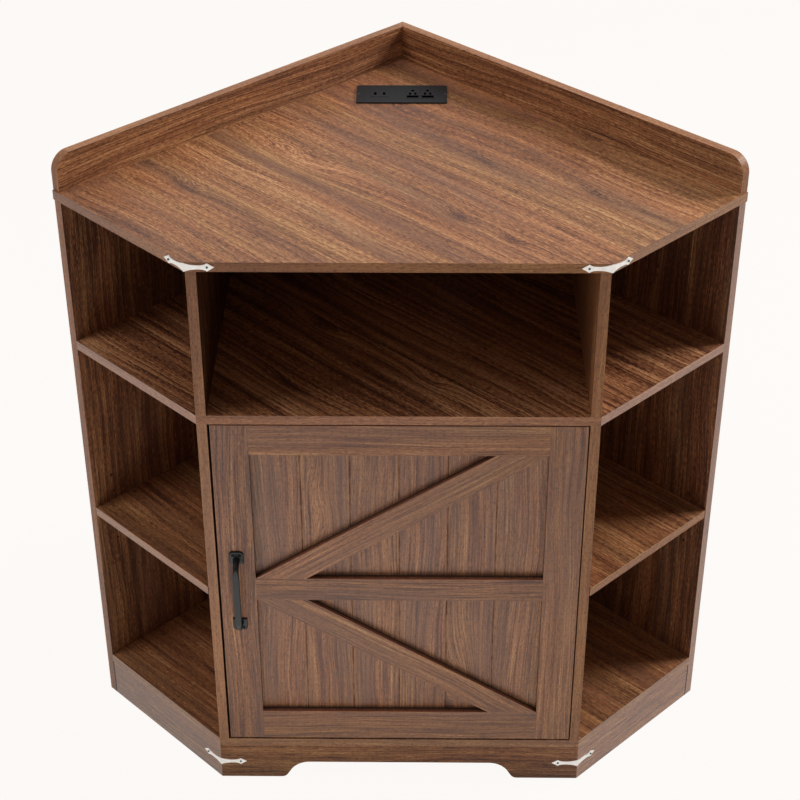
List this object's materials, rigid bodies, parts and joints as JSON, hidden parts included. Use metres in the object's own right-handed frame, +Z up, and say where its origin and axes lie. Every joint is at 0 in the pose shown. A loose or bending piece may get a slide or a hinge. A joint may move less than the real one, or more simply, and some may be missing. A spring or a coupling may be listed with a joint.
{
  "type": "corner cabinet",
  "caption": "Free-standing corner cabinet with a braced plank door, open side shelves, an open bay above the door, an arched plinth, raised back edges and a power unit in the top.",
  "frame": {"origin": "on the floor, under the middle of the whole cabinet's box, its door handle included", "axes": "+Z up, the door faces -Y, the back corner points to +Y, +X is to the right seen from the front"},
  "size_m": [1.0188, 0.749, 1.032],
  "materials": {
    "walnut": "wood-grain laminate on board, satin",
    "walnut_door": "darker wood-grain laminate, satin",
    "beech": "plain turned wood",
    "black_metal": "matt black powder coat",
    "steel": "zinc plated",
    "nickel": "satin nickel plate",
    "black_plastic": "fine satin texture",
    "grey_plastic": "moulded",
    "nylon": "self-lubricating",
    "magnet": "sintered ferrite",
    "brass": "stamped strip",
    "circuit_board": "lacquered laminate"
  },
  "bodies": {
    "carcass": {"top_panel": "walnut", "backsplash_left": "walnut", "backsplash_right": "walnut", "wall_panel_left": "walnut", "wall_panel_right": "walnut", "middle_board": "walnut", "bottom_board": "walnut", "divider_upper_left": "walnut", "divider_upper_right": "walnut", "divider_lower_left": "walnut", "divider_lower_right": "walnut", "side_shelf_left": "walnut", "side_shelf_right": "walnut", "inner_shelf": "walnut", "plinth_front": "walnut_door", "plinth_left": "walnut_door", "plinth_right": "walnut_door", "center_support": "walnut", "plinth_blocks": "beech", "shelf_pins": "steel", "dowels": "beech", "cam_bolts": "steel", "cam_locks": "steel", "backsplash_screws": "steel", "pivot_plate_upper": "steel", "pivot_plate_lower": "steel", "pivot_screws": "steel", "pivot_washer": "nylon", "catch_housing": "grey_plastic", "catch_magnet": "magnet", "catch_screws": "steel", "bracket_top_left": "nickel", "bracket_top_right": "nickel", "bracket_bottom_left": "nickel", "bracket_bottom_right": "nickel", "bracket_nails": "steel", "power_bezel": "black_plastic", "power_housing": "black_plastic", "outlet_left": "black_plastic", "outlet_right": "black_plastic", "usb_ports": "black_plastic", "power_screws": "steel", "power_contacts": "brass", "usb_board": "circuit_board", "cable_gland": "black_plastic", "cable_grommet": "black_plastic"},
    "door": {"door_panel": "walnut_door", "door_stile_left": "walnut_door", "door_stile_right": "walnut_door", "door_rail_top": "walnut_door", "door_rail_middle": "walnut_door", "door_rail_bottom": "walnut_door", "door_brace_upper": "walnut_door", "door_brace_lower": "walnut_door", "door_screws": "steel", "door_handle": "black_metal", "handle_screws": "black_metal", "strike_plate": "steel", "door_bushes": "nylon"}
  },
  "joints": [
    {"name": "door_hinge", "type": "hinge", "parent": "carcass", "child": "door", "pos_m": [0.248, -0.33896, 0.3955], "axis": [0, 0, 1], "range_deg": [0, 110]}
  ]
}
